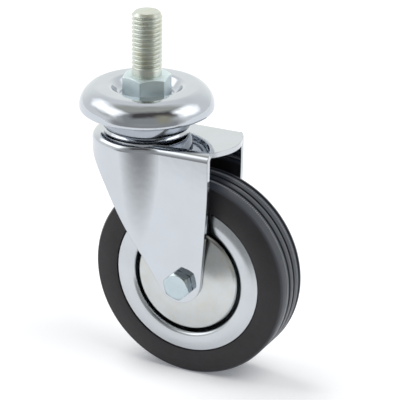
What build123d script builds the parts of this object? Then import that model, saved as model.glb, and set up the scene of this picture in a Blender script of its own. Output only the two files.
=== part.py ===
from build123d import *

# A swivel castor with a threaded stem, in millimetres. +Z runs up the stem, the origin is the
# centre of the hex collar's top face, the wheel trails towards +X and its axle lies along Y.

import os
from math import asin, pi, radians, sin, sqrt

os.makedirs("parts", exist_ok=True)

# ---- Driving dimensions -------------------------------------------------------------------------

# Stem, hex collar and king pin, one forging riveted over below the fork
stem_diameter = 12.0
stem_length = 25.0
stem_tip_bevel = 1.3
collar_across_flats = 17.0
collar_height = 8.0
collar_bevel_height = 0.9
collar_turn = -79.0
hexagon_face_share = 0.95
pin_diameter = 10.0
pin_clearance = 0.05
rivet_diameter = 15.0
rivet_height = 2.4
rivet_rounding = 1.6

# Doughnut cap round the collar, pressed from one disc. Its section keeps its proportions, so the
# shares below are of its reach, which is the width of the ring outside the collar's seat.
cap_sheet = 1.2
cap_diameter = 52.4
cap_seat_margin = 1.64
cap_brow_share = 0.173
cap_crest_share = 0.488
cap_rise_share = 0.244
cap_shoulder_drop_share = 0.251
cap_skirt_share = 0.407
cap_hem_share = 0.131
cap_bend_shares = (0.156, 0.332, 0.339, 0.583)
cap_hem_inner_radius = 0.3

# Ball race of the swivel head
ball_diameter = 7.94
ball_gap = 0.03
ball_side_gap = 0.05
race_groove_ease = 0.23
race_sheet = 2.0
race_skirt = 5.3
crown_pin_gap = 0.68
crown_gap = 1.8
crown_collar_rise = 0.7
crown_step_inset = 3.6
crown_foot_inset = 1.6
crown_foot_bend = 0.8
crown_step_bend = 2.6
crown_weld_overlap = 1.5
washer_thickness = 2.5
washer_margin = 5.0
washer_gap = 0.05
washer_bevel = 0.5

# Fork, pressed and folded from one sheet
fork_sheet = 2.0
fork_width = 32.0
nose_forward = 2.0
nose_blend_radius = 16.0
shoulder_radius = 3.2
tongue_length = 5.05
tongue_radius = 18.5
leg_rear_margin = 11.25
leg_rear_straight = 17.5
leg_rear_bend = 200.0
leg_end_radius = 9.3
leg_end_forward = 0.7
leg_end_raise = 1.3
lip_corner_back = 9.6
lip_corner_drop = 16.7
lip_corner_bend = 60.0

# Wheel and tyre
trail = 22.5
axle_drop = 77.0
wheel_diameter = 80.0
tyre_tread_width = 16.6
tyre_edge_rounding = 0.8
tyre_edge_drop = 0.6
tyre_flank_bulge = 0.45
tyre_lip_step = 0.3
tyre_lip_height = 0.4
tyre_bead_depth = 0.5
groove_offsets = (-1.9, 2.0, 6.9)
groove_width = 1.1
groove_depth = 1.3
rim_sheet = 1.2
rim_diameter = 60.0
rim_bowl_diameter = 45.0
rim_face_height = 10.3
rim_bowl_bend = 3.0
rim_lip_inner_radius = 0.6
rim_crown_share = 0.533
rim_rise_share = 0.067
rim_fall_share = 0.12
rim_crown_bend_share = 1.07
hub_diameter = 16.4
hub_wall = 1.2
hub_side_gap = 0.7
bush_length = 8.0
bush_flange_margin = 0.4
bush_flange_thickness = 1.0
bush_running_gap = 0.05

# Axle bolt, nut, sleeve and thread guards, held fast between the legs
bolt_diameter = 6.0
bolt_across_flats = 10.0
bolt_head_height = 4.0
bolt_bevel_height = 0.75
bolt_head_turn = 42.0
bolt_hole_clearance = 0.2
bolt_tip_bevel = 0.6
bolt_tip_reach = 1.5
nut_height = 6.0
nut_collar_height = 1.6
nut_thread_gap = 0.03
sleeve_diameter = 10.0
sleeve_bore_clearance = 0.1
guard_sheet = 1.0
guard_rim_gap = 1.35
guard_flat_margin = 4.5
guard_shoulder_inset = 0.75
guard_dish = 3.7
guard_edge_drop = 1.0
guard_bend_radii = (26.0, 1.6)

# ---- Heights and places that follow from them ---------------------------------------------------

seat_height = -collar_height
collar_corner_radius = collar_across_flats / sqrt(3)
collar_bevel_reach = collar_corner_radius - collar_across_flats / 2 * hexagon_face_share
pin_radius = pin_diameter / 2
pin_bore_radius = pin_radius + pin_clearance

# The race grows outwards from the pin: crown collar, ball, cup. Each ball touches the cup above and
# outside it and the crown below and inside it, at 45 degrees.
ball_radius = ball_diameter / 2
race_groove_radius = ball_radius + race_groove_ease
ball_play = (race_groove_ease - ball_gap) * sin(radians(45))
crown_collar_radius = pin_radius + crown_pin_gap + fork_sheet
ball_circle_radius = crown_collar_radius + race_groove_radius - ball_play
cup_radius = ball_circle_radius + race_groove_radius - ball_play + race_sheet
ball_count = int(pi / asin((ball_radius + ball_side_gap / 2) / ball_circle_radius))

cup_top = seat_height - cap_sheet
cup_bottom = cup_top - race_sheet - race_groove_radius - race_skirt
ball_height = cup_top - race_sheet - race_groove_radius + ball_play
crown_floor = ball_height + ball_play - race_groove_radius
table_top = cup_bottom - crown_gap
washer_top = crown_floor - fork_sheet - washer_gap
washer_bottom = washer_top - washer_thickness

crown_foot_radius = cup_radius - crown_foot_inset
crown_step_radius = cup_radius - crown_step_inset
nose_radius = crown_foot_radius + shoulder_radius

axle_height = -axle_drop
leg_face = fork_width / 2
leg_inner_face = leg_face - fork_sheet
leg_rear = trail + leg_rear_margin
leg_end_centre = (trail - leg_end_forward, axle_height + leg_end_raise)
table_rear = leg_rear + tongue_length
blank_rear = table_rear + fork_sheet
blank_depth = axle_drop + leg_end_radius + table_top
lip_corner = (-lip_corner_back, table_top - lip_corner_drop)
rear_corner = (leg_rear, table_top - leg_rear_straight)

bolt_hole_radius = bolt_diameter / 2 + bolt_hole_clearance
sleeve_radius = sleeve_diameter / 2
sleeve_end = leg_inner_face - guard_sheet
hub_radius = hub_diameter / 2
hub_bore_radius = hub_radius - hub_wall
hub_end = sleeve_end - hub_side_gap - bush_flange_thickness
rim_radius = rim_diameter / 2
rim_bowl_radius = rim_bowl_diameter / 2
rim_ledge = rim_radius - rim_bowl_radius
rim_crown_height = rim_face_height + rim_rise_share * rim_ledge
rim_edge_height = rim_crown_height - rim_fall_share * rim_ledge
guard_radius = rim_bowl_radius - guard_rim_gap

swivel_section = Plane.XZ
wheel_section = Plane(origin=(trail, 0, axle_height), x_dir=(1, 0, 0), z_dir=(0, 0, 1))
wheel_axis = Axis((trail, 0, axle_height), (0, 1, 0))
wheel_side = Plane(origin=(trail, 0, axle_height), x_dir=(1, 0, 0), z_dir=(0, -1, 0))


def save(piece, label):
    """Names a finished piece and writes it as one STEP file."""
    piece.part.label = label
    export_step(piece.part, "parts/" + label + ".step")


# ---- Stem, hex collar and king pin --------------------------------------------------------------

with BuildPart() as threaded_stem:
    with BuildSketch(Plane.XY.offset(seat_height)):
        RegularPolygon(collar_across_flats / 2, 6, major_radius=False, rotation=collar_turn)
    extrude(amount=collar_height)
    with BuildSketch(Plane.XY.offset(seat_height)):
        Circle(collar_corner_radius)
    bevelled = extrude(amount=collar_height, mode=Mode.PRIVATE)
    bevel_edge = bevelled.edges().sort_by(Axis.Z)[-1]
    bevelled = bevelled.chamfer(collar_bevel_height, collar_bevel_reach, [bevel_edge])
    add(bevelled, mode=Mode.INTERSECT)
    with BuildSketch():
        Circle(stem_diameter / 2)
    extrude(amount=stem_length)
    tip = threaded_stem.faces().sort_by(Axis.Z)[-1]
    chamfer(tip.edges(), stem_tip_bevel)
    with BuildSketch(Plane.XY.offset(seat_height)):
        Circle(pin_radius)
    extrude(amount=washer_bottom - seat_height)
    with BuildSketch(Plane.XY.offset(washer_bottom)):
        Circle(rivet_diameter / 2)
    extrude(amount=-rivet_height)
    rivet_face = threaded_stem.faces().sort_by(Axis.Z)[0]
    fillet(rivet_face.edges(), rivet_rounding)
save(threaded_stem, "threaded_stem")

# ---- Doughnut cap -------------------------------------------------------------------------------

cap_radius = cap_diameter / 2
cap_seat_radius = collar_corner_radius + cap_seat_margin
cap_reach = cap_radius - cap_seat_radius
cap_crest = seat_height + cap_rise_share * cap_reach
cap_shoulder = cap_crest - cap_shoulder_drop_share * cap_reach
cap_skirt = cap_shoulder - cap_skirt_share * cap_reach
cap_brow_radius = cap_seat_radius + cap_brow_share * cap_reach
cap_bends = [share * cap_reach for share in cap_bend_shares]

with BuildPart() as head_cap:
    with BuildSketch(swivel_section):
        with BuildLine():
            cap_line = FilletPolyline(
                (pin_bore_radius, seat_height),
                (cap_seat_radius, seat_height),
                (cap_brow_radius, cap_crest),
                (cap_brow_radius + cap_crest_share * cap_reach, cap_crest),
                (cap_radius, cap_shoulder),
                (cap_radius, cap_skirt),
                (cap_radius - cap_hem_share * cap_reach, cap_skirt),
                radius=cap_bends + [cap_hem_inner_radius + cap_sheet],
            )
            offset(cap_line, amount=cap_sheet, side=Side.RIGHT)
        make_face()
    revolve(axis=Axis.Z)
save(head_cap, "head_cap")

# ---- Ball race ----------------------------------------------------------------------------------

with BuildPart() as upper_race_cup:
    with BuildSketch(swivel_section):
        with BuildLine():
            cup_line = FilletPolyline(
                (pin_bore_radius, cup_top),
                (cup_radius, cup_top),
                (cup_radius, cup_bottom),
                radius=race_groove_radius + race_sheet,
            )
            offset(cup_line, amount=race_sheet, side=Side.RIGHT)
        make_face()
    revolve(axis=Axis.Z)
save(upper_race_cup, "upper_race_cup")

for number in range(ball_count):
    ball_plane = Plane.XY.rotated((0, 0, 360 / ball_count * number))
    with BuildPart(ball_plane) as race_ball:
        with Locations((ball_circle_radius, 0, ball_height)):
            Sphere(ball_radius)
    save(race_ball, "race_ball_" + str(number + 1))

with BuildPart() as retaining_cup:
    with BuildSketch(Plane.XY.offset(washer_top)):
        Circle(rivet_diameter / 2 + washer_margin)
        Circle(pin_bore_radius, mode=Mode.SUBTRACT)
    extrude(amount=-washer_thickness)
    rim_edge = retaining_cup.edges().filter_by(GeomType.CIRCLE).group_by(SortBy.RADIUS)[-1]
    chamfer(rim_edge, washer_bevel)
save(retaining_cup, "retaining_cup")

# ---- Fork ---------------------------------------------------------------------------------------

def fork_plan(inset):
    """The fork's outline from above, nose circle blended into two straight legs, moved in by inset."""
    nose = nose_radius - inset
    half_width = leg_face - inset
    blend = nose_blend_radius + inset
    blend_centre_reach = sqrt((nose + blend) ** 2 - (half_width + blend) ** 2)
    blend_x = blend_centre_reach - nose_forward
    meeting_x = blend_centre_reach * nose / (nose + blend) - nose_forward
    meeting_y = (half_width + blend) * nose / (nose + blend)
    with BuildSketch(Plane.XY.offset(table_top - inset)) as plan:
        with BuildLine():
            ThreePointArc((meeting_x, meeting_y), (-nose - nose_forward, 0), (meeting_x, -meeting_y))
            RadiusArc((meeting_x, -meeting_y), (blend_x, -half_width), blend)
            RadiusArc((meeting_x, meeting_y), (blend_x, half_width), -blend)
            Polyline(
                (blend_x, -half_width),
                (blend_rear(inset), -half_width),
                (blend_rear(inset), half_width),
                (blend_x, half_width),
            )
        make_face()
    return plan.sketch


def blend_rear(inset):
    """Where the blank ends behind; the hollow runs past the shell so that it opens to the rear."""
    return blank_rear + inset


def pressed_block(inset):
    """The block inside the outline, with the shoulder rounded and the rear edge left square."""
    with BuildPart() as block:
        add(fork_plan(inset))
        extrude(amount=-blank_depth)
        shoulder = block.faces().sort_by(Axis.Z)[-1].edges().sort_by(Axis.X)[:-1]
        fillet(shoulder, shoulder_radius - inset)
    return block.part


fork_shell = pressed_block(0)
fork_hollow = pressed_block(fork_sheet)

with BuildPart() as fork:
    add(fork_shell)
    add(fork_hollow, mode=Mode.SUBTRACT)

    # Side view: front edges that slant down from the nose, rounded leg ends, rear edges
    with BuildSketch(Plane.XZ) as side_view:
        with BuildLine() as leg_frame:
            CenterArc(leg_end_centre, leg_end_radius, 0, 360)
            Polyline(
                lip_corner,
                (-lip_corner_back, table_top),
                (leg_rear, table_top),
                rear_corner,
            )
        make_hull(leg_frame.edges())
        with BuildLine():
            Polyline(
                (-lip_corner_back, table_top),
                (-blank_rear, table_top),
                (-blank_rear, table_top - shoulder_radius),
                (-nose_radius - nose_forward, table_top - shoulder_radius),
                lip_corner,
                close=True,
            )
        make_face()
        fillet(side_view.vertices().sort_by_distance(lip_corner)[0], lip_corner_bend)
        fillet(side_view.vertices().sort_by_distance(rear_corner)[0], leg_rear_bend)
    extrude(amount=fork_width, both=True, mode=Mode.INTERSECT)

    # Table tongue behind the legs, with its round rear edge
    tongue_half = leg_face - shoulder_radius
    with BuildSketch(Plane.XY.offset(table_top)):
        with Locations((table_rear - tongue_radius, 0)):
            Circle(tongue_radius)
        with Locations((leg_rear - shoulder_radius, 0)):
            Rectangle(
                tongue_length + shoulder_radius,
                2 * tongue_half,
                align=(Align.MIN, Align.CENTER),
                mode=Mode.INTERSECT,
            )
    extrude(amount=-fork_sheet)

    # Crown: the raceway and the collar round the king pin, drawn up out of the table
    with BuildSketch(Plane.XY.offset(table_top)):
        Circle(crown_foot_radius + crown_weld_overlap / 2)
    extrude(amount=-fork_sheet, mode=Mode.SUBTRACT)
    with BuildSketch(swivel_section):
        with BuildLine():
            crown_line = FilletPolyline(
                (crown_foot_radius + crown_weld_overlap, table_top),
                (crown_foot_radius, table_top),
                (crown_step_radius, crown_floor),
                (crown_collar_radius, crown_floor),
                (crown_collar_radius, crown_floor + race_groove_radius + crown_collar_rise),
                radius=(crown_foot_bend, crown_step_bend, race_groove_radius),
            )
            offset(crown_line, amount=fork_sheet, side=Side.LEFT)
        make_face()
    revolve(axis=Axis.Z)

    # Axle hole through both legs
    with BuildSketch(wheel_side):
        Circle(bolt_hole_radius)
    extrude(amount=fork_width, both=True, mode=Mode.SUBTRACT)
save(fork, "fork")

# ---- Axle ---------------------------------------------------------------------------------------


def hexagon_blank(plane, height, bevel_height):
    """A hexagon of the bolt's size standing on the plane, its far corners turned off to a bevel."""
    corner_radius = bolt_across_flats / sqrt(3)
    bevel_reach = corner_radius - bolt_across_flats / 2 * hexagon_face_share
    with BuildPart() as blank:
        with BuildSketch(plane):
            RegularPolygon(bolt_across_flats / 2, 6, major_radius=False, rotation=bolt_head_turn)
        extrude(amount=height)
        with BuildSketch(plane):
            Circle(corner_radius)
        turned = extrude(amount=height, mode=Mode.PRIVATE)
        far_edge = turned.edges().filter_by(GeomType.CIRCLE).sort_by(Axis(plane.origin, plane.z_dir))[-1]
        turned = turned.chamfer(bevel_height, bevel_reach, [far_edge])
        add(turned, mode=Mode.INTERSECT)
    return blank.part


near_face = wheel_side.offset(leg_face)
far_face = Plane(origin=(trail, leg_face, axle_height), x_dir=(1, 0, 0), z_dir=(0, 1, 0))
bolt_length = fork_width + nut_height + bolt_tip_reach

with BuildPart() as axle_bolt:
    add(hexagon_blank(near_face, bolt_head_height, bolt_bevel_height))
    with BuildSketch(near_face):
        Circle(bolt_diameter / 2)
    extrude(amount=-bolt_length)
    bolt_tip = axle_bolt.faces().sort_by(Axis.Y)[-1]
    chamfer(bolt_tip.edges(), bolt_tip_bevel)
save(axle_bolt, "axle_bolt")

with BuildPart() as axle_nut:
    add(hexagon_blank(far_face, nut_height - nut_collar_height, bolt_bevel_height))
    with BuildSketch(far_face.offset(nut_height - nut_collar_height)):
        Circle(bolt_across_flats / 2 * hexagon_face_share)
    extrude(amount=nut_collar_height)
    nut_top = axle_nut.faces().sort_by(Axis.Y)[-1]
    fillet(nut_top.edges(), nut_collar_height / 2)
    with BuildSketch(far_face):
        Circle(bolt_diameter / 2 + nut_thread_gap)
    extrude(amount=nut_height, mode=Mode.SUBTRACT)
save(axle_nut, "axle_nut")

with BuildPart() as axle_sleeve:
    with BuildSketch(wheel_side):
        Circle(sleeve_radius)
        Circle(bolt_diameter / 2 + sleeve_bore_clearance, mode=Mode.SUBTRACT)
    extrude(amount=sleeve_end, both=True)
save(axle_sleeve, "axle_sleeve")

with BuildPart() as thread_guard_far:
    with BuildSketch(wheel_section):
        with BuildLine():
            guard_line = FilletPolyline(
                (bolt_hole_radius, leg_inner_face),
                (sleeve_radius + guard_flat_margin, leg_inner_face),
                (guard_radius - guard_shoulder_inset, leg_inner_face - guard_dish),
                (guard_radius, leg_inner_face - guard_dish - guard_edge_drop),
                radius=guard_bend_radii,
            )
            offset(guard_line, amount=guard_sheet, side=Side.RIGHT)
        make_face()
    revolve(axis=wheel_axis)
save(thread_guard_far, "thread_guard_far")

with BuildPart() as thread_guard_near:
    mirror(thread_guard_far.part, about=Plane.XZ)
save(thread_guard_near, "thread_guard_near")

# ---- Wheel --------------------------------------------------------------------------------------

with BuildPart() as rim_half_far:
    with BuildSketch(wheel_section):
        with BuildLine():
            rim_line = FilletPolyline(
                (hub_radius, rim_sheet),
                (rim_bowl_radius, rim_sheet),
                (rim_bowl_radius, rim_face_height),
                (rim_bowl_radius + rim_crown_share * rim_ledge, rim_crown_height),
                (rim_radius, rim_edge_height),
                radius=(
                    rim_bowl_bend,
                    rim_lip_inner_radius + rim_sheet,
                    rim_crown_bend_share * rim_ledge,
                ),
            )
            offset(rim_line, amount=rim_sheet, side=Side.RIGHT)
        make_face()
    revolve(axis=wheel_axis)
save(rim_half_far, "rim_half_far")

with BuildPart() as rim_half_near:
    mirror(rim_half_far.part, about=Plane.XZ)
save(rim_half_near, "rim_half_near")

wheel_radius = wheel_diameter / 2
lip_radius = rim_radius + tyre_lip_step
edge_radius = wheel_radius - tyre_edge_drop
bead_height = rim_edge_height - tyre_bead_depth
flank_half = rim_edge_height + tyre_lip_height
bead_radius = rim_bowl_radius + rim_sheet / 2
tread_half = tyre_tread_width / 2
edge_half = tread_half + tyre_edge_rounding

with BuildPart() as tyre:
    with BuildSketch(wheel_section):
        with BuildLine():
            Polyline(
                (wheel_radius, 0),
                (wheel_radius, tread_half),
                (edge_radius, edge_half),
            )
            flank_middle = ((lip_radius + edge_radius) / 2, (flank_half + edge_half) / 2 + tyre_flank_bulge)
            ThreePointArc((edge_radius, edge_half), flank_middle, (lip_radius, flank_half))
            Polyline(
                (lip_radius, flank_half),
                (lip_radius, bead_height),
                (rim_radius - rim_sheet / 2, bead_height),
                (bead_radius, rim_edge_height),
                (bead_radius, 0),
                (wheel_radius, 0),
            )
        make_face()
        mirror(about=Plane.XZ)
        for groove_offset in groove_offsets:
            with Locations((wheel_radius, groove_offset)):
                Rectangle(2 * groove_depth, groove_width, mode=Mode.SUBTRACT)
    revolve(axis=wheel_axis)
    add(rim_half_near.part, mode=Mode.SUBTRACT)
    add(rim_half_far.part, mode=Mode.SUBTRACT)
save(tyre, "tyre")

with BuildPart() as hub_tube:
    with BuildSketch(wheel_side):
        Circle(hub_radius)
        Circle(hub_bore_radius, mode=Mode.SUBTRACT)
    extrude(amount=hub_end, both=True)
save(hub_tube, "hub_tube")

hub_face = wheel_side.offset(hub_end)

with BuildPart() as hub_bush_near:
    with BuildSketch(hub_face):
        Circle(hub_bore_radius)
    extrude(amount=-bush_length)
    with BuildSketch(hub_face):
        Circle(hub_radius + bush_flange_margin)
    extrude(amount=bush_flange_thickness)
    with BuildSketch(wheel_side):
        Circle(sleeve_radius + bush_running_gap)
    extrude(amount=fork_width, mode=Mode.SUBTRACT)
save(hub_bush_near, "hub_bush_near")

with BuildPart() as hub_bush_far:
    mirror(hub_bush_near.part, about=Plane.XZ)
save(hub_bush_far, "hub_bush_far")
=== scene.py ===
import math

import bmesh
import bpy
from mathutils import Matrix, Vector


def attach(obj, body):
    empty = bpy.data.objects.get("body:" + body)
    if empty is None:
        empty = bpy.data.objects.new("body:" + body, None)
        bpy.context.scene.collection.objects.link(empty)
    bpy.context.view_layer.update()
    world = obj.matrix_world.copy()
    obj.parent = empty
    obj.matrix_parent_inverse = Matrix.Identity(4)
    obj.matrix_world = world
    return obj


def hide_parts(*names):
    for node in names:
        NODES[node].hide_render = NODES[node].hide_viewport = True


# Looks of a swivel castor with a threaded stem. Metres, +Z up the stem, the origin on the hex
# collar's top face, the wheel trailing towards +X, the axle along Y.

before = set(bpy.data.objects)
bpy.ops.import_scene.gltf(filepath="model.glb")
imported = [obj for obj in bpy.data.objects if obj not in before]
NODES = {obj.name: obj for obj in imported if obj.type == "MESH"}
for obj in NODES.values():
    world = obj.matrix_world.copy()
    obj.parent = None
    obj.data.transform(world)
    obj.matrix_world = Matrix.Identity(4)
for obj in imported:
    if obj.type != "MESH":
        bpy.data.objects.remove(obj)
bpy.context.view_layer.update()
MM = 0.001

# ---- Sizes shared with the solids, in millimetres -----------------------------------------------

STEM_RADIUS = 6.0
STEM_LENGTH = 25.0
STEM_BEVEL = 1.3
THREAD_PITCH = 1.75
THREAD_DEPTH = 0.95
THREAD_CLEARANCE = 0.03
# shares of one pitch: the flat at the crest, and both flanks together
THREAD_CREST = 0.10
THREAD_FLANKS = 0.72
# where the thread begins to rise from the plain neck, and over what length
RUNOUT_LEAD = 0.9
RUNOUT_LENGTH = 1.6
END_CLEARANCE = 0.02
NECK_LENGTH = 3.2
NECK_RADIUS = 5.75
HEX_HALF = 8.5
HEX_HEIGHT = 8.0
HEX_TURN = math.radians(-79.0)
HEX_FACE_RADIUS = 8.05
HEX_BEVEL_SLOPE = 0.52
HEX_CORNER_CUT = 0.12
COLLAR_STEPS = 360
CAP_SHEET = 1.2
# the cap's upper surface as (radius, height) corners, and the bend radius at each inner corner
CAP_OUTLINE = (
    (5.3, -8.0),
    (11.45, -8.0),
    (14.1, -4.4),
    (21.2, -4.4),
    (26.2, -8.1),
    (26.2, -14.1),
    (24.3, -14.1),
)
CAP_BENDS = (2.0, 2.4, 5.0, 8.6, 1.5)
CUP_RADIUS = 17.8
CUP_WALL = 2.0
CUP_TOP = -9.2
CUP_BOTTOM = -20.7
CUP_BORE = 5.2
CUP_GROOVE = 4.2
CUP_BARREL = 1.0
CUP_BARREL_POWER = 2.6
PIN_RADIUS = 5.0
PIN_END = -23.9
RIVET_RADIUS = 7.5
RIVET_END = -26.26
# the riveted head as (inset from its radius, depth below the washer's face)
RIVET_ROWS = ((0.1, 0.0), (0.0, 0.15), (0.0, 0.7), (0.3, 1.4), (0.9, 2.0))
RIVET_FACE_INSET = 1.8

AXLE_X = 22.5
AXLE_Z = -77.0
WHEEL_RADIUS = 40.0
TREAD_HALF = 8.3
EDGE_HALF = 9.1
EDGE_RADIUS = 39.4
FLANK_HALF = 10.3
FLANK_BULGE = 0.45
LIP_RADIUS = 30.3
# the tyre's hidden seat under the rim as (distance from the middle, radius)
TYRE_SEAT = ((6.0, 27.0), (8.0, 29.6), (9.2, 30.3))
GROOVES = (-1.9, 2.0, 6.9)
GROOVE_HALF = 0.55
GROOVE_DEPTH = 1.3
# toothed bands of the tread as (start, end, share of the tooth's depth)
TOOTH_BANDS = ((-4.4, -2.72, 1.0), (4.5, 6.12, 0.55))
TOOTH_COUNT = 290
TOOTH_DEPTH = 0.5
TOOTH_SLOPE = 0.12
# one tooth and one gap, in four steps round the wheel: 0 is a tip, 1 a root
TOOTH_SHAPE = (0.0, 0.0, 1.0, 1.0)

LEG_FACE = 16.0
BOLT_RADIUS = 3.0
BOLT_HALF = 5.0
BOLT_FACE_SHARE = 0.95
BOLT_HEAD = 4.0
BOLT_BEVEL_SLOPE = 0.733
BOLT_TURN = math.radians(42.0)
BOLT_LENGTH = 39.5
# the head's dish as (radius, depth below the head's face)
BOLT_DISH = ((4.55, 0.01), (4.25, 0.07), (4.1, 0.07))
BOLT_TIP_BEVEL = 0.65
BOLT_THREAD_ROWS = 24
BOLT_THREAD_STEP = 0.25
BOLT_THREAD_WAVE = (0.02, 0.3, 0.55, 0.3)
NUT_HEIGHT = 6.0
NUT_HEX_HEIGHT = 4.4
NUT_CROWN = 0.8
NUT_POCKET_RADIUS = 3.7
NUT_POCKET_DEPTH = 1.45
NUT_BORE = BOLT_RADIUS + 0.03
# the nylon ring as (radius, depth below the nut's end)
NUT_RING = ((3.72, 1.4), (3.72, 0.5), (3.6, 0.4), (3.12, 0.4), (3.04, 0.5), (3.04, 1.4))
AXLE_STEPS = 240

FLOOR_Z = AXLE_Z - WHEEL_RADIUS

# Points nearer than this are one point, in metres.
WELD = 1e-7

# ---- Numbers of the looks -----------------------------------------------------------------------

# noise scales, in features per metre
DRIFT_SCALE = 60.0
PATCH_SCALE = 140.0
SPOT_SCALE = 900.0
WAVE_SCALE = 110.0
PLATING_GRAIN_SCALE = 2600.0
PLASTIC_DRIFT_SCALE = 90.0
PLASTIC_GRAIN_SCALE = 3500.0
RUBBER_DRIFT_SCALE = 70.0
SCUFF_SCALE = 420.0
RUBBER_GRAIN_SCALE = 5200.0
# shares of the relief
PLATING_GRAIN_SHARE = 0.04
SCUFF_SHARE = 1.5
# how much handling marks add to the roughness, as a share of the roughest plating
MARK_SHARE = 0.3
# plastic: how much paler its drift and its worn edges are, and how far its roughness varies
PLASTIC_DRIFT = 1.25
PLASTIC_WORN = 1.9
PLASTIC_WEAR = 0.5
PLASTIC_VARIATION = 0.07
# how much glossier the tread is than the flanks
TREAD_POLISH = 0.14
RUBBER_ROUGHNESS = (0.46, 0.6)
EDGE_ROUNDING = 0.3 * MM
EDGE_SAMPLES = 6
# how far a rounded normal turns from the face's own, as cosines: no wear, and full wear
EDGE_UNWORN = 0.98
EDGE_WORN = 0.84
# painted shade in the stem thread's roots: its strength and its colour
ROOT_SHADE_AMOUNT = 0.22
ROOT_SHADE_COLOR = (0.30, 0.30, 0.22)
FLANK_DARK = (0.0095, 0.0078, 0.0100)
FLANK_LIGHT = (0.0165, 0.0138, 0.0170)
# the tread's paler, bluer tone: part scuffed wear, part a painted sheen
TREAD_WEAR_AND_SHEEN_COLOR = (0.033, 0.039, 0.054)
# painted highlight on the tooth tips
TOOTH_TIP_HIGHLIGHT = (0.42, 0.45, 0.50)
RUBBER_GRAIN = 3e-5
PLASTIC_GRAIN = 3e-5

# ---- Mesh helpers -------------------------------------------------------------------------------


def make_object(name, vertices, faces, smooth=True):
    mesh = bpy.data.meshes.new(name)
    mesh.from_pydata([tuple(v) for v in vertices], [], faces)
    mesh.update()
    obj = bpy.data.objects.new(name, mesh)
    bpy.context.scene.collection.objects.link(obj)
    for polygon in mesh.polygons:
        polygon.use_smooth = smooth
    return obj


def mark_sharp(obj, degrees):
    obj.data.set_sharp_from_angle(angle=math.radians(degrees))


def ring_grid(rings, close_rows=False, ends=False):
    """Quads between rings of equally many points; ends closes the first and the last ring."""
    count = len(rings[0])
    vertices = [p for ring in rings for p in ring]
    faces = []
    rows = len(rings) if close_rows else len(rings) - 1
    for r in range(rows):
        a = r * count
        b = ((r + 1) % len(rings)) * count
        for i in range(count):
            j = (i + 1) % count
            faces.append((a + i, a + j, b + j, b + i))
    if ends:
        faces += [tuple(reversed(range(count))), tuple(range(len(vertices) - count, len(vertices)))]
    return vertices, faces


def turned_over(faces):
    """The same faces seen from their other side."""
    return [tuple(reversed(face)) for face in faces]


def weld(obj):
    """Join points that coincide, drop the faces that this empties, and turn normals outward."""
    mesh = bmesh.new()
    mesh.from_mesh(obj.data)
    bmesh.ops.remove_doubles(mesh, verts=mesh.verts, dist=WELD)
    bmesh.ops.dissolve_degenerate(mesh, edges=mesh.edges, dist=WELD)
    bmesh.ops.recalc_face_normals(mesh, faces=mesh.faces)
    mesh.to_mesh(obj.data)
    mesh.free()
    for polygon in obj.data.polygons:
        polygon.use_smooth = True


def circle_rings(rows, steps, place):
    """Rings from rows of (radius of an angle, height of an angle); place puts them in the frame."""
    angles = [2 * math.pi * i / steps for i in range(steps)]
    return [[place(radius(a), a, height(a)) for a in angles] for radius, height in rows]


def round_stem(radius, angle, height):
    return (radius * math.cos(angle) * MM, radius * math.sin(angle) * MM, height * MM)


def flat(value):
    """The same radius or height all round."""
    return lambda angle: value


# ---- Materials ----------------------------------------------------------------------------------


def new_material(name):
    material = bpy.data.materials.new(name)
    material.use_nodes = True
    tree = material.node_tree
    shader = tree.nodes["Principled BSDF"]
    return material, tree, shader


def link(tree, a, b):
    tree.links.new(a, b)


def noise(tree, scale, detail, roughness=0.55, *, coords, distortion=0.0, output="Fac"):
    node = tree.nodes.new("ShaderNodeTexNoise")
    node.inputs["Scale"].default_value = scale
    node.inputs["Detail"].default_value = detail
    node.inputs["Roughness"].default_value = roughness
    node.inputs["Distortion"].default_value = distortion
    link(tree, coords, node.inputs["Vector"])
    return node.outputs[output]


def remap(tree, value, low, high, out_low, out_high):
    node = tree.nodes.new("ShaderNodeMapRange")
    node.inputs["From Min"].default_value = low
    node.inputs["From Max"].default_value = high
    node.inputs["To Min"].default_value = out_low
    node.inputs["To Max"].default_value = out_high
    link(tree, value, node.inputs["Value"])
    return node.outputs["Result"]


def mix_color(tree, factor, color_a, color_b):
    """Mix of two colours or colour sockets."""
    node = tree.nodes.new("ShaderNodeMix")
    node.data_type = "RGBA"
    inputs = [s for s in node.inputs if s.type == "RGBA"]
    for socket, value in zip(inputs, (color_a, color_b)):
        if hasattr(value, "is_output"):
            link(tree, value, socket)
        else:
            socket.default_value = (*value, 1.0)
    link(tree, factor, node.inputs["Factor"])
    return [s for s in node.outputs if s.type == "RGBA"][0]


def math_node(tree, operation, a, b=None):
    """One sum on sockets or plain numbers."""
    node = tree.nodes.new("ShaderNodeMath")
    node.operation = operation
    for socket, value in zip(node.inputs, (a, b)):
        if value is None:
            continue
        if hasattr(value, "is_output"):
            link(tree, value, socket)
        else:
            socket.default_value = value
    return node.outputs["Value"]


def vector_step(tree, operation, a, b=None):
    """One vector operation; b is a plain vector."""
    node = tree.nodes.new("ShaderNodeVectorMath")
    node.operation = operation
    link(tree, a, node.inputs[0])
    if b is not None:
        node.inputs[1].default_value = b
    return node


def rounded_normal(tree, radius):
    edge = tree.nodes.new("ShaderNodeBevel")
    edge.samples = EDGE_SAMPLES
    edge.inputs["Radius"].default_value = radius
    return edge.outputs["Normal"]


def bump(tree, shader, height, distance, rounding=0.0):
    """Relief from a height; rounding is the radius to which the mesh's edges look rounded."""
    node = tree.nodes.new("ShaderNodeBump")
    if rounding:
        link(tree, rounded_normal(tree, rounding), node.inputs["Normal"])
    node.inputs["Distance"].default_value = distance
    link(tree, height, node.inputs["Height"])
    link(tree, node.outputs["Normal"], shader.inputs["Normal"])


def object_coords(tree):
    return tree.nodes.new("ShaderNodeTexCoord").outputs["Object"]


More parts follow.
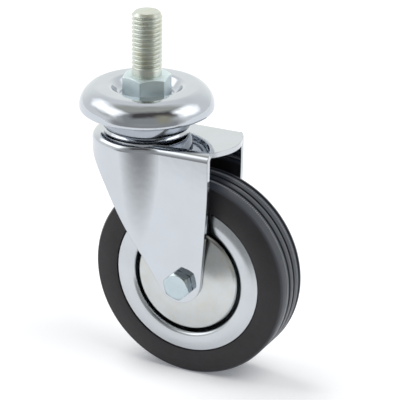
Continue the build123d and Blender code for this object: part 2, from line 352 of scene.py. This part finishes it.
def edge_wear_and_reflection(tree):
    """0 on faces, 1 along sharp edges: where a rounded normal leaves the face's own."""
    across = vector_step(tree, "DOT_PRODUCT", rounded_normal(tree, EDGE_ROUNDING))
    link(tree, tree.nodes.new("ShaderNodeNewGeometry").outputs["Normal"], across.inputs[1])
    return remap(tree, across.outputs["Value"], EDGE_UNWORN, EDGE_WORN, 0.0, 1.0)


def distance_from(tree, coords, across, centre):
    """Distance from an axis in the object's own coordinates; across names the two axes it spans."""
    split = tree.nodes.new("ShaderNodeSeparateXYZ")
    link(tree, coords, split.inputs["Vector"])
    squares = []
    for axis, middle in zip(across, centre):
        offset = math_node(tree, "SUBTRACT", split.outputs[axis], middle * MM)
        squares.append(math_node(tree, "MULTIPLY", offset, offset))
    return math_node(tree, "SQRT", math_node(tree, "ADD", *squares)), split


def plated(
    name, color, second, roughness, tint=None, tint_amount=0.0, ripple=4e-5, edge=1.15, root_shade=False
):
    """Bright plating: faint colour drift, uneven polish, a slight ripple and fine handling marks.

    The colour drifts to second and in patches to tint. Edges are toned to the colour times edge:
    paler wear where edge is above 1, a painted dark reflection where it is below 1; root_shade
    paints shade into the bottom of the stem's thread.
    """
    material, tree, shader = new_material(name)
    coords = object_coords(tree)
    drift = noise(tree, DRIFT_SCALE, 3.0, coords=coords)
    spots = noise(tree, SPOT_SCALE, 6.0, 0.7, coords=coords)
    base = mix_color(tree, remap(tree, drift, 0.35, 0.65, 0.0, 1.0), color, second)
    if tint is not None:
        patch = noise(tree, PATCH_SCALE, 5.0, 0.65, coords=coords, distortion=1.5)
        base = mix_color(tree, remap(tree, patch, 0.45, 0.7, 0.0, tint_amount), base, tint)
    # painted shade: the thread is darkened towards its roots
    if root_shade:
        radius, _ = distance_from(tree, coords, "XY", (0.0, 0.0))
        low, high = (STEM_RADIUS - THREAD_DEPTH) * MM, (STEM_RADIUS - 0.2) * MM
        base = mix_color(tree, remap(tree, radius, low, high, ROOT_SHADE_AMOUNT, 0.0), base, ROOT_SHADE_COLOR)
    # edges: paler wear where edge is above 1; below 1, as on the fork's chrome, a painted dark reflection
    # along the edges
    worn_and_painted_edges = mix_color(tree, edge_wear_and_reflection(tree), base, tuple(min(1.0, c * edge) for c in color))
    link(tree, worn_and_painted_edges, shader.inputs["Base Color"])
    shader.inputs["Metallic"].default_value = 1.0
    smooth, rough = roughness
    uneven = remap(tree, drift, 0.3, 0.7, smooth, rough)
    marks = remap(tree, spots, 0.5, 0.8, 0.0, rough * MARK_SHARE)
    link(tree, math_node(tree, "ADD", uneven, marks), shader.inputs["Roughness"])
    wave = noise(tree, WAVE_SCALE, 2.0, coords=coords)
    grain = noise(tree, PLATING_GRAIN_SCALE, 3.0, coords=coords)
    height = math_node(tree, "ADD", wave, math_node(tree, "MULTIPLY", grain, PLATING_GRAIN_SHARE))
    bump(tree, shader, height, ripple, rounding=EDGE_ROUNDING)
    return material


chrome = plated(
    "polished_chrome",
    color=(0.525, 0.548, 0.578),
    second=(0.545, 0.575, 0.615),
    roughness=(0.03, 0.08),
    # the chrome's edges are painted darker: a painted dark reflection along them
    edge=0.58,
)
cap_chrome = plated(
    "cap_chrome",
    color=(0.53, 0.56, 0.60),
    second=(0.50, 0.53, 0.57),
    roughness=(0.05, 0.11),
    ripple=8e-5,
)
# a darker copy of the chrome: painted shade for the cup that sits in the cap's shadow
shaded_race_chrome = plated(
    "shaded_race_chrome",
    color=(0.37, 0.395, 0.44),
    second=(0.34, 0.365, 0.41),
    roughness=(0.1, 0.18),
)
guard_steel = plated(
    "plated_guard",
    color=(0.57, 0.595, 0.61),
    second=(0.52, 0.54, 0.54),
    roughness=(0.16, 0.25),
    tint=(0.54, 0.52, 0.45),
    tint_amount=0.5,
)
rim_steel = plated(
    "plated_rim",
    color=(0.535, 0.562, 0.590),
    second=(0.50, 0.525, 0.553),
    roughness=(0.15, 0.24),
)
zinc = plated(
    "zinc_plated",
    color=(0.52, 0.60, 0.64),
    second=(0.47, 0.55, 0.59),
    roughness=(0.16, 0.26),
    tint=(0.52, 0.53, 0.46),
    tint_amount=0.25,
)
collar_zinc = plated(
    "zinc_collar",
    color=(0.73, 0.83, 0.85),
    second=(0.67, 0.77, 0.79),
    roughness=(0.44, 0.5),
    tint=(0.70, 0.73, 0.66),
    tint_amount=0.25,
)
thread_zinc = plated(
    "zinc_thread",
    color=(0.68, 0.72, 0.68),
    second=(0.61, 0.64, 0.58),
    roughness=(0.26, 0.34),
    tint=(0.60, 0.59, 0.44),
    tint_amount=0.7,
    root_shade=True,
)
bearing = plated(
    "bearing_steel",
    color=(0.62, 0.62, 0.63),
    second=(0.5, 0.5, 0.51),
    roughness=(0.06, 0.14),
)


def moulded(name, color, roughness):
    """Moulded plastic: a faint drift in colour, paler edges and a fine grain."""
    material, tree, shader = new_material(name)
    coords = object_coords(tree)
    drift = noise(tree, PLASTIC_DRIFT_SCALE, 5.0, coords=coords)
    grain = noise(tree, PLASTIC_GRAIN_SCALE, 4.0, 0.6, coords=coords)
    light = tuple(c * PLASTIC_DRIFT for c in color)
    scuffed = tuple(c * PLASTIC_WORN for c in color)
    base = mix_color(tree, remap(tree, drift, 0.35, 0.7, 0.0, 1.0), color, light)
    wear = math_node(tree, "MULTIPLY", edge_wear_and_reflection(tree), PLASTIC_WEAR)
    link(tree, mix_color(tree, wear, base, scuffed), shader.inputs["Base Color"])
    smooth, rough = roughness - PLASTIC_VARIATION, roughness + PLASTIC_VARIATION
    uneven = remap(tree, grain, 0.3, 0.7, smooth, rough)
    link(tree, uneven, shader.inputs["Roughness"])
    bump(tree, shader, grain, PLASTIC_GRAIN)
    return material


bush_plastic = moulded("bush_plastic", (0.02, 0.02, 0.022), 0.5)
nylon = moulded("nut_nylon", (0.62, 0.62, 0.58), 0.45)


def rubber_material():
    """Grey moulded rubber: matt dark flanks, a sheen on the tread, a paler bluer tread that is part wear
    and part painted sheen, painted highlights on the teeth's tips and painted shade between them.
    """
    material, tree, shader = new_material("tyre_rubber")
    coords = object_coords(tree)
    radius, split = distance_from(tree, coords, "XZ", (AXLE_X, AXLE_Z))
    drift = noise(tree, RUBBER_DRIFT_SCALE, 6.0, 0.6, coords=coords)
    scuff = noise(tree, SCUFF_SCALE, 8.0, 0.75, coords=coords, distortion=0.8)
    grain = noise(tree, RUBBER_GRAIN_SCALE, 3.0, 0.6, coords=coords)
    flank = mix_color(tree, remap(tree, drift, 0.3, 0.7, 0.0, 1.0), FLANK_DARK, FLANK_LIGHT)
    below, rim, tip = ((WHEEL_RADIUS - depth) * MM for depth in (1.0, 0.3, 0.02))
    tread_share = remap(tree, radius, below, rim, 0.0, 1.0)
    uneven = remap(tree, scuff, 0.3, 0.65, 0.7, 1.0)
    # the tread is painted paler and bluer, unevenly: part scuffed wear, part painted sheen
    base = mix_color(tree, math_node(tree, "MULTIPLY", tread_share, uneven), flank, TREAD_WEAR_AND_SHEEN_COLOR)
    # painted highlight on the tooth tips, and painted shade in the hollows of the toothed bands
    tip_highlight_mask = remap(tree, radius, rim, tip, 0.0, 1.0)
    for start, end, share in TOOTH_BANDS:
        middle = (start + end) / 2 * MM
        out = math_node(tree, "ABSOLUTE", math_node(tree, "SUBTRACT", split.outputs["Y"], middle))
        half = (end - start) / 2 * MM
        band = remap(tree, out, half - 0.25 * MM, half, share, 0.0)
        hollow_shade = mix_color(tree, band, base, FLANK_DARK)
        base = mix_color(tree, tip_highlight_mask, hollow_shade, mix_color(tree, band, base, TOOTH_TIP_HIGHLIGHT))
    link(tree, base, shader.inputs["Base Color"])
    polish = math_node(tree, "MULTIPLY", tread_share, TREAD_POLISH)
    matt = remap(tree, scuff, 0.3, 0.7, *RUBBER_ROUGHNESS)
    link(tree, math_node(tree, "SUBTRACT", matt, polish), shader.inputs["Roughness"])
    shader.inputs["Specular IOR Level"].default_value = 0.5
    height = math_node(tree, "ADD", grain, math_node(tree, "MULTIPLY", scuff, SCUFF_SHARE))
    bump(tree, shader, height, RUBBER_GRAIN)
    return material


rubber = rubber_material()

# ---- Carried-over solids ------------------------------------------------------------------------

looks = {
    "head_cap": chrome,
    "upper_race_cup": shaded_race_chrome,
    "retaining_cup": zinc,
    "fork": chrome,
    "axle_bolt": zinc,
    "axle_nut": zinc,
    "axle_sleeve": zinc,
    "thread_guard_near": guard_steel,
    "thread_guard_far": guard_steel,
    "rim_half_near": rim_steel,
    "rim_half_far": rim_steel,
    "hub_tube": rim_steel,
    "hub_bush_near": bush_plastic,
    "hub_bush_far": bush_plastic,
    "tyre": rubber,
    "threaded_stem": zinc,
}
for node_name, node in NODES.items():
    material = looks.get(node_name, bearing)
    node.data.materials.clear()
    node.data.materials.append(material)

# ---- Threaded stem, collar and pin --------------------------------------------------------------


def hex_radius(angle, half_flats, turn, corner=0.0):
    """Distance from the axis to a hexagon's side at an angle; turn is the angle of one corner."""
    local = (angle - turn) % (math.pi / 3) - math.pi / 6
    radius = half_flats / math.cos(local)
    return min(radius, half_flats * 2 / math.sqrt(3) - corner)


def thread_piece():
    """The screw thread as one helical strip with a flat disc at each end."""
    steps = 96
    samples = 12
    turns = STEM_LENGTH / THREAD_PITCH + 2
    top_radius = STEM_RADIUS - STEM_BEVEL - END_CLEARANCE

    def profile(phase):
        """0 at the crest, 1 at the root, with short flats at both."""
        rise = abs(phase - 0.5) * 2
        return min(1.0, max(0.0, (1 - rise - THREAD_CREST) / THREAD_FLANKS))

    rings = []
    for row in range(int(turns * samples) + 1):
        ring = []
        for i in range(steps):
            z = (row / samples - 1 + i / steps) * THREAD_PITCH
            depth = profile((row % samples) / samples) * THREAD_DEPTH
            radius = STEM_RADIUS - THREAD_CLEARANCE - depth
            # the thread runs out into the plain neck above the collar
            fade = min(1.0, max(0.0, (z - NECK_LENGTH + RUNOUT_LEAD) / RUNOUT_LENGTH))
            radius = NECK_RADIUS + (radius - NECK_RADIUS) * fade
            z = min(max(z, 0.0), STEM_LENGTH)
            limit = STEM_RADIUS - max(0.0, z - (STEM_LENGTH - STEM_BEVEL))
            radius = min(radius, limit - END_CLEARANCE)
            ring.append(round_stem(radius, 2 * math.pi * i / steps, z))
        rings.append(ring)
    vertices = [point for ring in rings for point in ring]
    faces = []
    for r in range(len(rings) - 1):
        for i in range(steps - 1):
            a = r * steps + i
            faces.append((a, a + 1, a + 1 + steps, a + steps))
        # the last point of a row meets the first point of the row one turn higher
        up = r + samples
        if up + 1 < len(rings):
            last = (r + 1) * steps - 1
            faces.append((last, up * steps, (up + 1) * steps, last + steps))
    # the discs repeat the strip's end points, which weld joins
    for radius, z in ((top_radius, STEM_LENGTH), (NECK_RADIUS, 0.0)):
        base = len(vertices)
        vertices.append((0.0, 0.0, z * MM))
        for i in range(steps):
            vertices.append(round_stem(radius, 2 * math.pi * i / steps, z))
            faces.append((base, base + 1 + i, base + 1 + (i + 1) % steps))
    piece = make_object("stem_thread", vertices, faces)
    weld(piece)
    mark_sharp(piece, 40)
    piece.data.materials.append(thread_zinc)
    return piece


def collar_piece():
    """Hex collar with its turned top bevel, the king pin below and the riveted end."""

    def side(angle):
        return hex_radius(angle, HEX_HALF, HEX_TURN, HEX_CORNER_CUT)

    def bevel(angle):
        return -max(0.0, side(angle) - HEX_FACE_RADIUS) * HEX_BEVEL_SLOPE

    # a hair above the cap that the collar sits on
    seat = flat(-HEX_HEIGHT + 0.005)
    # from the top face over the turned bevel and down the six sides to the seat and the pin
    rows = [
        (flat(NECK_RADIUS - 0.3), flat(0.0)),
        (flat(HEX_FACE_RADIUS - 0.1), flat(0.0)),
        (flat(HEX_FACE_RADIUS), flat(-0.015)),
        (lambda angle: side(angle) - 0.06, bevel),
        (side, lambda angle: bevel(angle) - 0.07),
        (side, flat(-HEX_HEIGHT + 0.12)),
        (lambda angle: side(angle) - 0.12, seat),
        (flat(PIN_RADIUS), seat),
        (flat(PIN_RADIUS), flat(PIN_END)),
    ]
    rows += [(flat(RIVET_RADIUS - inset), flat(PIN_END - depth)) for inset, depth in RIVET_ROWS]
    rows += [(flat(RIVET_RADIUS - RIVET_FACE_INSET), flat(RIVET_END)), (flat(0.3), flat(RIVET_END))]
    vertices, faces = ring_grid(circle_rings(rows, COLLAR_STEPS, round_stem), ends=True)
    piece = make_object("stem_collar", vertices, turned_over(faces))
    mark_sharp(piece, 22)
    piece.data.materials.append(collar_zinc)
    return piece


thread = thread_piece()
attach(thread, "stem_head")
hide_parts("threaded_stem")
collar = collar_piece()
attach(collar, "stem_head")
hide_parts("threaded_stem")

# ---- Head cap and race cup ----------------------------------------------------------------------


def turned_piece(name, profile, steps=288):
    """A closed outline of (radius, height), turned round the swivel axis."""
    rings = []
    for radius, z in profile:
        ring = []
        for i in range(steps):
            angle = 2 * math.pi * i / steps
            ring.append((radius * math.cos(angle) * MM, radius * math.sin(angle) * MM, z * MM))
        rings.append(ring)
    vertices, faces = ring_grid(rings, close_rows=True)
    piece = make_object(name, vertices, faces)
    mark_sharp(piece, 38)
    return piece


def bent_line(points, bends, steps=12):
    """A polyline in the plane with its inner corners rounded to the bend radii."""
    line = [Vector(points[0])]
    for before, corner, after, bend in zip(points, points[1:], points[2:], bends):
        corner = Vector(corner)
        back = (Vector(before) - corner).normalized()
        ahead = (Vector(after) - corner).normalized()
        half = back.angle(ahead) / 2
        centre = corner + (back + ahead).normalized() * bend / math.sin(half)
        start = corner + back * bend / math.tan(half) - centre
        end = corner + ahead * bend / math.tan(half) - centre
        sweep = start.angle_signed(end)
        for i in range(steps + 1):
            line.append(centre + Matrix.Rotation(-sweep * i / steps, 2) @ start)
    line.append(Vector(points[-1]))
    return line


def sheet_outline(line, thickness):
    """A line of sheet metal closed into an outline: the line, then its copy one thickness inside."""
    inside = []
    for i, point in enumerate(line):
        along = (line[min(i + 1, len(line) - 1)] - line[max(i - 1, 0)]).normalized()
        inside.append(point + Vector((along.y, -along.x)) * thickness)
    return list(line) + inside[::-1]


def cap_piece():
    """The doughnut cap, pressed from one disc, its crest close round the collar."""
    profile = sheet_outline(bent_line(CAP_OUTLINE, CAP_BENDS), CAP_SHEET)
    piece = turned_piece("head_cap_pressed", list(reversed(profile)), 360)
    piece.data.materials.append(cap_chrome)
    return piece


cap = cap_piece()
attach(cap, "stem_head")
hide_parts("head_cap")


def cup_piece():
    """The pressed cup: a rounded shoulder, then a skirt that draws in towards a rolled edge."""
    bend = CUP_GROOVE + CUP_WALL
    centre = (CUP_RADIUS - bend, CUP_TOP - bend)
    profile = [(CUP_BORE, CUP_TOP)]
    for i in range(13):
        a = math.pi / 2 * (1 - i / 12)
        profile.append((centre[0] + bend * math.cos(a), centre[1] + bend * math.sin(a)))
    length = centre[1] - CUP_BOTTOM - 0.35
    for i in range(1, 11):
        t = i / 10
        profile.append((CUP_RADIUS - CUP_BARREL * t**CUP_BARREL_POWER, centre[1] - length * t))
    edge = CUP_RADIUS - CUP_BARREL
    profile += [(edge - 0.2, CUP_BOTTOM + 0.1), (edge - 0.4, CUP_BOTTOM)]
    inner = CUP_RADIUS - CUP_WALL
    profile += [(inner + 0.1, CUP_BOTTOM), (inner, CUP_BOTTOM + 0.1)]
    for i in range(9):
        a = math.pi / 2 * i / 8
        profile.append((centre[0] + CUP_GROOVE * math.cos(a), centre[1] + CUP_GROOVE * math.sin(a)))
    profile.append((CUP_BORE, CUP_TOP - CUP_WALL))
    piece = turned_piece("race_cup_pressed", list(reversed(profile)))
    piece.data.materials.append(shaded_race_chrome)
    return piece


cup = cup_piece()
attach(cup, "stem_head")
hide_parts("upper_race_cup")

# ---- Tyre ---------------------------------------------------------------------------------------


def tyre_profile():
    """The tyre's outline as (along the axle, radius, share of a tooth's depth), from -Y to +Y."""
    # each flank is a parabola through its foot, its bulging middle and the tread's edge
    middle = ((FLANK_HALF + EDGE_HALF) / 2 + FLANK_BULGE, (LIP_RADIUS + EDGE_RADIUS) / 2)
    flank = []
    for i in range(9):
        t = i / 8
        a, b, c = 2 * (t - 0.5) * (t - 1), 4 * t * (1 - t), 2 * t * (t - 0.5)
        flank.append(
            (
                a * (FLANK_HALF - 0.02) + b * middle[0] + c * (EDGE_HALF - 0.02),
                a * (LIP_RADIUS + 0.35) + b * middle[1] + c * (EDGE_RADIUS - 0.25),
            )
        )
    side = list(TYRE_SEAT)
    side += [(10.0, LIP_RADIUS + 0.02), (FLANK_HALF - 0.1, LIP_RADIUS + 0.12)]
    side += flank
    side += [
        (EDGE_HALF - 0.06, EDGE_RADIUS),
        (TREAD_HALF + 0.15, WHEEL_RADIUS - 0.16),
        (TREAD_HALF - 0.1, WHEEL_RADIUS),
    ]
    near = [(-y, r, 0.0) for y, r in side]
    far = [(y, r, 0.0) for y, r in reversed(side)]

    tread = []
    for start, end, share in TOOTH_BANDS:
        tread += [(start, WHEEL_RADIUS, 0.0), (start + TOOTH_SLOPE, WHEEL_RADIUS, share)]
        tread += [(end - TOOTH_SLOPE, WHEEL_RADIUS, share), (end, WHEEL_RADIUS, 0.0)]
    root = WHEEL_RADIUS - GROOVE_DEPTH
    # one wall of a groove as (distance out from it, radius): its rounded edge, then its foot
    wall = (
        (0.17, WHEEL_RADIUS),
        (0.04, WHEEL_RADIUS - 0.05),
        (0.0, WHEEL_RADIUS - 0.2),
        (-0.06, root + 0.12),
    )
    for groove in GROOVES:
        for out, r in wall:
            tread.append((groove - GROOVE_HALF - out, r, 0.0))
            tread.append((groove + GROOVE_HALF + out, r, 0.0))
        tread.append((groove, root, 0.0))
    return near + sorted(tread) + far


def tyre_piece():
    """The tyre, with teeth pressed into two bands of its tread."""
    steps = TOOTH_COUNT * len(TOOTH_SHAPE)
    angles = [2 * math.pi * i / steps for i in range(steps)]
    circle = [(math.cos(angle), math.sin(angle)) for angle in angles]
    rings = []
    for y, radius, share in tyre_profile():
        ring = []
        for i, (c, s) in enumerate(circle):
            r = radius - share * TOOTH_DEPTH * TOOTH_SHAPE[i % len(TOOTH_SHAPE)]
            ring.append(((AXLE_X + r * c) * MM, y * MM, (AXLE_Z + r * s) * MM))
        rings.append(ring)
    vertices, faces = ring_grid(rings, close_rows=True)
    piece = make_object("tyre_ribbed", vertices, turned_over(faces))
    mark_sharp(piece, 38)
    piece.data.materials.append(rubber)
    return piece


tyre = tyre_piece()
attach(tyre, "wheel")
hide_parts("tyre")

# ---- Axle bolt and lock nut ---------------------------------------------------------------------


def hexagon_rows(height, foot):
    """Rows up a hexagon's sides, over the turned bevel to the edge of its round face.

    Each row gives the distances from the axle line and out from the leg's face.
    """
    face = BOLT_HALF * BOLT_FACE_SHARE

    def side(angle):
        return hex_radius(angle, BOLT_HALF, BOLT_TURN, 0.1)

    def bevel(angle):
        return height - max(0.0, side(angle) - face) * BOLT_BEVEL_SLOPE

    return [
        (flat(face), flat(0.0)),
        (flat(face), flat(foot)),
        (side, flat(foot + 0.1)),
        (side, lambda angle: bevel(angle) - 0.06),
        (lambda angle: side(angle) - 0.05, bevel),
        (flat(face - 0.02), flat(height)),
    ]


def axle_piece(name, rows, side, material, angle=24, ends=False):
    """A turned piece on the axle: with ends it is solid, otherwise its last row joins its first."""

    def round_axle(radius, angle, out):
        across, up = radius * math.cos(angle), radius * math.sin(angle)
        return ((AXLE_X + across) * MM, side * (LEG_FACE + out) * MM, (AXLE_Z + up) * MM)

    vertices, faces = ring_grid(circle_rings(rows, AXLE_STEPS, round_axle), close_rows=not ends, ends=ends)
    piece = make_object(name, vertices, turned_over(faces) if side > 0 else faces)
    mark_sharp(piece, angle)
    piece.data.materials.append(material)
    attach(piece, "fork")
    return piece


def bolt_piece():
    """The axle bolt: its threaded end, its shank and its head with a shallow dish."""
    thread_start = BOLT_LENGTH - NUT_HEIGHT - 2.0
    thread = []
    for k in range(BOLT_THREAD_ROWS):
        depth = BOLT_THREAD_WAVE[k % len(BOLT_THREAD_WAVE)]
        thread.append((flat(BOLT_RADIUS - depth), flat(-thread_start - k * BOLT_THREAD_STEP)))
    rows = [(flat(BOLT_RADIUS - BOLT_TIP_BEVEL), flat(-BOLT_LENGTH))]
    rows += list(reversed(thread))
    rows += [(flat(BOLT_RADIUS), flat(-thread_start)), (flat(BOLT_RADIUS), flat(0.0))]
    rows += hexagon_rows(BOLT_HEAD, 0.3)
    rows += [(flat(radius), flat(BOLT_HEAD - depth)) for radius, depth in BOLT_DISH]
    return axle_piece("axle_bolt_dressed", rows, -1, zinc, ends=True)


def nut_piece():
    """The lock nut: a hexagon, a round crown and the pocket that holds the nylon ring."""
    face = BOLT_HALF * BOLT_FACE_SHARE
    pocket = NUT_HEIGHT - NUT_POCKET_DEPTH
    rows = [(flat(NUT_BORE), flat(0.0))] + hexagon_rows(NUT_HEX_HEIGHT, 0.2)
    rows += [(flat(face), flat(NUT_HEX_HEIGHT + 0.05))]
    for i in range(7):
        a = i / 6 * math.pi / 2
        radius = face - NUT_CROWN + NUT_CROWN * math.cos(a)
        rows.append((flat(radius), flat(NUT_HEIGHT - NUT_CROWN + NUT_CROWN * math.sin(a))))
    rows += [
        (flat(NUT_POCKET_RADIUS + 0.05), flat(NUT_HEIGHT - 0.05)),
        (flat(NUT_POCKET_RADIUS), flat(NUT_HEIGHT - 0.6)),
        (flat(NUT_POCKET_RADIUS), flat(pocket)),
        (flat(NUT_BORE), flat(pocket)),
    ]
    return axle_piece("axle_nut_dressed", rows, 1, zinc)


def nut_ring_piece():
    """The nylon ring in the nut's pocket."""
    rows = [(flat(radius), flat(NUT_HEIGHT - depth)) for radius, depth in NUT_RING]
    return axle_piece("axle_nut_ring", rows, 1, nylon, 35)


bolt = bolt_piece()
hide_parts("axle_bolt")
nut = nut_piece()
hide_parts("axle_nut")
nut_ring = nut_ring_piece()
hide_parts("axle_nut")

# ---- Studio -------------------------------------------------------------------------------------

VIEW_AZIMUTH = -64.1
FLOOR_EDGE = 0.30
FLOOR_DEPTH = 2.6
FLOOR_WIDTH = 3.0
FLOOR_FADE = (0.15, 0.25)
FLOOR_TONE = 0.92
FLOOR_LIFT = 0.18
FLOOR_LIFT_COLOR = (0.93, 0.98, 1.07, 1.0)

# The room that the metal mirrors is pale, with soft-edged zones: azimuth, elevation, half width and
# half height in degrees, edge softness in degrees, and how bright the zone is. Its strength as
# light on matt surfaces is ROOM_DIFFUSE, and noise warps its edges.
ROOM_LIGHT = (0.97, 0.98, 0.98)
ROOM_DIFFUSE = 0.42
ROOM_WARP = 0.3
ROOM_WARP_SCALE = 3.0
ROOM_ZONES = (
    ("dark_below", VIEW_AZIMUTH, -24.0, 60.0, 20.0, 10.0, (0.40, 0.40, 0.40)),
    ("ceiling", VIEW_AZIMUTH, 72.0, 74.0, 20.0, 8.0, (0.52, 0.52, 0.475)),
    ("backdrop", VIEW_AZIMUTH + 180, 14.0, 40.0, 20.0, 12.0, (1.15, 1.17, 1.13)),
    ("dark_room", VIEW_AZIMUTH, 16.0, 50.0, 30.0, 14.0, (0.38, 0.39, 0.39)),
    ("dark_doorway", VIEW_AZIMUTH + 14, 44.0, 36.0, 14.0, 8.0, (0.10, 0.09, 0.09)),
    ("warm_wall", VIEW_AZIMUTH + 31, 16.0, 11.0, 20.0, 8.0, (0.44, 0.415, 0.32)),
    ("soft_box_left", VIEW_AZIMUTH - 87, 36.0, 30.0, 14.0, 7.0, (2.1, 2.1, 2.1)),
    ("soft_box_right", VIEW_AZIMUTH + 82, 28.0, 20.0, 19.0, 7.0, (2.1, 2.1, 2.1)),
)


def zone_mask(tree, direction, azimuth, elevation, half_width, half_height, soft):
    """1 inside a zone of the room, 0 outside it, with a soft edge between."""
    level = direction
    for axis, degrees in (("Z_AXIS", -azimuth), ("Y_AXIS", elevation)):
        turn = tree.nodes.new("ShaderNodeVectorRotate")
        turn.rotation_type = axis
        turn.inputs["Angle"].default_value = math.radians(degrees)
        link(tree, level, turn.inputs["Vector"])
        level = turn.outputs["Vector"]
    split = tree.nodes.new("ShaderNodeSeparateXYZ")
    link(tree, level, split.inputs["Vector"])
    across = math_node(tree, "ARCTAN2", split.outputs["Y"], split.outputs["X"])
    rise = math_node(tree, "ARCSINE", split.outputs["Z"])
    masks = []
    for angle, half in ((across, half_width), (rise, half_height)):
        size = math_node(tree, "ABSOLUTE", angle)
        masks.append(remap(tree, size, math.radians(half - soft), math.radians(half + soft), 1.0, 0.0))
    return math_node(tree, "MULTIPLY", masks[0], masks[1])


def studio_world():
    """White to the camera; metal mirrors the room's zones, and matt surfaces are lit by them softly."""
    world = bpy.data.worlds.new("studio_world")
    bpy.context.scene.world = world
    world.use_nodes = True
    tree = world.node_tree
    outward = tree.nodes.new("ShaderNodeTexCoord").outputs["Generated"]
    warp = noise(tree, ROOM_WARP_SCALE, 3.0, coords=outward, output="Color")
    shift = vector_step(tree, "MULTIPLY_ADD", warp, (ROOM_WARP,) * 3)
    link(tree, outward, shift.inputs[2])
    centred = vector_step(tree, "SUBTRACT", shift.outputs["Vector"], (ROOM_WARP / 2,) * 3)
    direction = vector_step(tree, "NORMALIZE", centred.outputs["Vector"]).outputs["Vector"]
    light = ROOM_LIGHT
    for _, *zone, color in ROOM_ZONES:
        light = mix_color(tree, zone_mask(tree, direction, *zone), light, color)
    path = tree.nodes.new("ShaderNodeLightPath").outputs
    mirrored = math_node(tree, "MAXIMUM", path["Is Glossy Ray"], path["Is Transmission Ray"])
    strength = remap(tree, mirrored, 0.0, 1.0, ROOM_DIFFUSE, 1.0)
    background = tree.nodes["Background"]
    color = mix_color(tree, path["Is Camera Ray"], light, (1.0, 1.0, 1.0))
    link(tree, color, background.inputs["Color"])
    strength = math_node(tree, "MAXIMUM", strength, path["Is Camera Ray"])
    link(tree, strength, background.inputs["Strength"])


def compass(degrees):
    """The level direction at an azimuth."""
    return Vector((math.cos(math.radians(degrees)), math.sin(math.radians(degrees)), 0))


def sun_lamp(name, azimuth, elevation, softness, power):
    """A wide soft lamp for matt surfaces, which the metal doesn't mirror."""
    data = bpy.data.lights.new(name, "SUN")
    data.angle = math.radians(softness)
    data.energy = power
    obj = bpy.data.objects.new(name, data)
    bpy.context.scene.collection.objects.link(obj)
    a = math.radians(azimuth)
    e = math.radians(elevation)
    towards = Vector((math.cos(a) * math.cos(e), math.sin(a) * math.cos(e), math.sin(e)))
    obj.rotation_euler = towards.to_track_quat("Z", "Y").to_euler()
    obj.visible_glossy = False


def floor_material():
    """White paper that keeps the shadow and fades out in front, where the dark room begins."""
    material = bpy.data.materials.new("studio_floor")
    material.use_nodes = True
    tree = material.node_tree
    tree.nodes.clear()
    out = tree.nodes.new("ShaderNodeOutputMaterial")
    path = tree.nodes.new("ShaderNodeLightPath").outputs
    ahead = vector_step(tree, "DOT_PRODUCT", object_coords(tree), compass(VIEW_AZIMUTH))
    front = remap(tree, ahead.outputs["Value"], *FLOOR_FADE, 0.0, 1.0)
    diffuse = tree.nodes.new("ShaderNodeBsdfDiffuse")
    diffuse.inputs["Color"].default_value = (FLOOR_TONE, FLOOR_TONE, FLOOR_TONE, 1.0)
    # the lift is seen directly and in metal, but doesn't light the object
    lift = tree.nodes.new("ShaderNodeEmission")
    lift.inputs["Color"].default_value = FLOOR_LIFT_COLOR
    seen = math_node(tree, "MAXIMUM", path["Is Camera Ray"], path["Is Glossy Ray"])
    seen = math_node(tree, "MAXIMUM", seen, path["Is Transmission Ray"])
    link(tree, math_node(tree, "MULTIPLY", seen, FLOOR_LIFT), lift.inputs["Strength"])
    both = tree.nodes.new("ShaderNodeAddShader")
    link(tree, diffuse.outputs["BSDF"], both.inputs[0])
    link(tree, lift.outputs["Emission"], both.inputs[1])
    gone = tree.nodes.new("ShaderNodeBsdfTransparent")
    fade = tree.nodes.new("ShaderNodeMixShader")
    link(tree, front, fade.inputs["Fac"])
    link(tree, both.outputs["Shader"], fade.inputs[1])
    link(tree, gone.outputs["BSDF"], fade.inputs[2])
    link(tree, fade.outputs["Shader"], out.inputs["Surface"])
    return material


def studio_floor():
    """A sheet of white paper that ends in front of the object, turned to face the view."""
    front = compass(VIEW_AZIMUTH)
    side = Vector((-front.y, front.x, 0))
    corners = []
    for along, across in ((FLOOR_EDGE, -1), (FLOOR_EDGE, 1), (-FLOOR_DEPTH, 1), (-FLOOR_DEPTH, -1)):
        point = front * along + side * across * FLOOR_WIDTH / 2
        corners.append((point.x, point.y, FLOOR_Z * MM))
    sheet = make_object("studio_floor", corners, [(0, 1, 2, 3)], smooth=False)
    sheet.data.materials.append(floor_material())


studio_world()
studio_floor()
sun_lamp("lamp_left", azimuth=171.0, elevation=60.0, softness=40.0, power=1.5)
sun_lamp("lamp_right", azimuth=-9.0, elevation=60.0, softness=40.0, power=1.15)

# ---- Camera -------------------------------------------------------------------------------------

AZIMUTH = math.radians(25.9)
ELEVATION = math.radians(21.8)
ROLL = math.radians(0.48)
DISTANCE = 1.0
TARGET = Vector((23.0 * MM, 0.0, -47.9 * MM))
SENSOR_WIDTH = 36.0
LENS = 233.46

camera_data = bpy.data.cameras.new("camera")
camera_data.sensor_width = SENSOR_WIDTH
camera_data.lens = LENS
camera_data.clip_end = 20.0
camera = bpy.data.objects.new("camera", camera_data)
bpy.context.scene.collection.objects.link(camera)
level = math.cos(ELEVATION)
back = Vector((math.sin(AZIMUTH) * level, -math.cos(AZIMUTH) * level, math.sin(ELEVATION)))
camera.location = TARGET + back * DISTANCE
right = Vector((math.cos(AZIMUTH), math.sin(AZIMUTH), 0.0))
up = back.cross(right)
rotation = Matrix((right, up, back)).transposed()
camera.rotation_euler = (rotation @ Matrix.Rotation(ROLL, 3, "Z")).to_euler()
bpy.context.scene.camera = camera

bpy.context.scene.view_settings.view_transform = "Standard"
